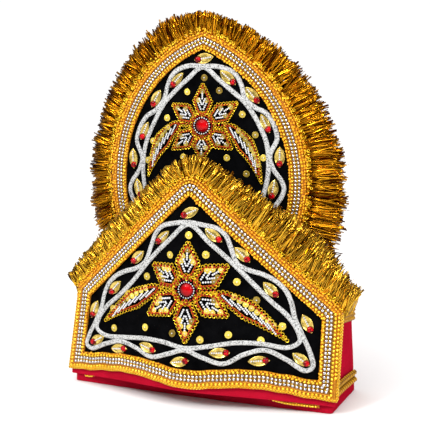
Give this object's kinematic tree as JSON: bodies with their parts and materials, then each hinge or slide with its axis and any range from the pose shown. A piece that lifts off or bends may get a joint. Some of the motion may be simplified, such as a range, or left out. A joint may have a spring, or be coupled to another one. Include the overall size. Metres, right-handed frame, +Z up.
{
  "type": "costume crown",
  "caption": "Costume crown with a low gabled front panel and a tall pointed panel behind it, beaded and fringed, on a head ring.",
  "frame": {"origin": "middle of the crown's box, on the surface it stands on", "axes": "+Z up, the decorated front looks towards -Y, +X to the right of someone facing the front"},
  "size_m": [0.2658, 0.1056, 0.3187],
  "materials": {
    "red_cloth": "red cloth stretched over card",
    "black_velvet": "black velvet",
    "gold_lace": "gold thread lace with bead rows",
    "gold_tinsel": "metallic gold tinsel fringe",
    "silver_braid": "glittering silver flat braid",
    "gold_chain": "gold chain stitching",
    "gold_leaf": "stamped gold leaf with a red stone",
    "red_stone": "polished red stone, foil backed"
  },
  "bodies": {
    "root": {"base_ring": "red_cloth", "gable_board": "red_cloth", "gable_flower": "gold_chain", "gable_fringe_left": "gold_tinsel", "gable_fringe_right": "gold_tinsel", "gable_leaf_01": "gold_leaf", "gable_leaf_02": "gold_leaf", "gable_leaf_03": "gold_leaf", "gable_leaf_04": "gold_leaf", "gable_leaf_05": "gold_leaf", "gable_leaf_06": "gold_leaf", "gable_leaf_07": "gold_leaf", "gable_leaf_08": "gold_leaf", "gable_leaf_09": "gold_leaf", "gable_leaf_10": "gold_leaf", "gable_leaf_11": "gold_leaf", "gable_leaf_12": "gold_leaf", "gable_leaf_13": "gold_leaf", "gable_leaf_14": "gold_leaf", "gable_leaf_15": "gold_leaf", "gable_leaf_16": "gold_leaf", "gable_stone": "red_stone", "gable_trim": "gold_lace", "gable_velvet": "black_velvet", "gable_vine": "silver_braid", "hem_lace": "gold_lace", "side_braid_left": "gold_lace", "side_braid_right": "gold_lace", "side_fringe_left": "gold_tinsel", "side_fringe_right": "gold_tinsel", "tall_board": "red_cloth", "tall_flower": "gold_chain", "tall_fringe_left": "gold_tinsel", "tall_fringe_right": "gold_tinsel", "tall_leaf_01": "gold_leaf", "tall_leaf_02": "gold_leaf", "tall_leaf_03": "gold_leaf", "tall_leaf_04": "gold_leaf", "tall_leaf_05": "gold_leaf", "tall_leaf_06": "gold_leaf", "tall_leaf_07": "gold_leaf", "tall_leaf_08": "gold_leaf", "tall_leaf_09": "gold_leaf", "tall_leaf_10": "gold_leaf", "tall_leaf_11": "gold_leaf", "tall_leaf_12": "gold_leaf", "tall_leaf_13": "gold_leaf", "tall_stone": "red_stone", "tall_trim": "gold_lace", "tall_velvet": "black_velvet", "tall_vine": "silver_braid"}
  },
  "joints": []
}
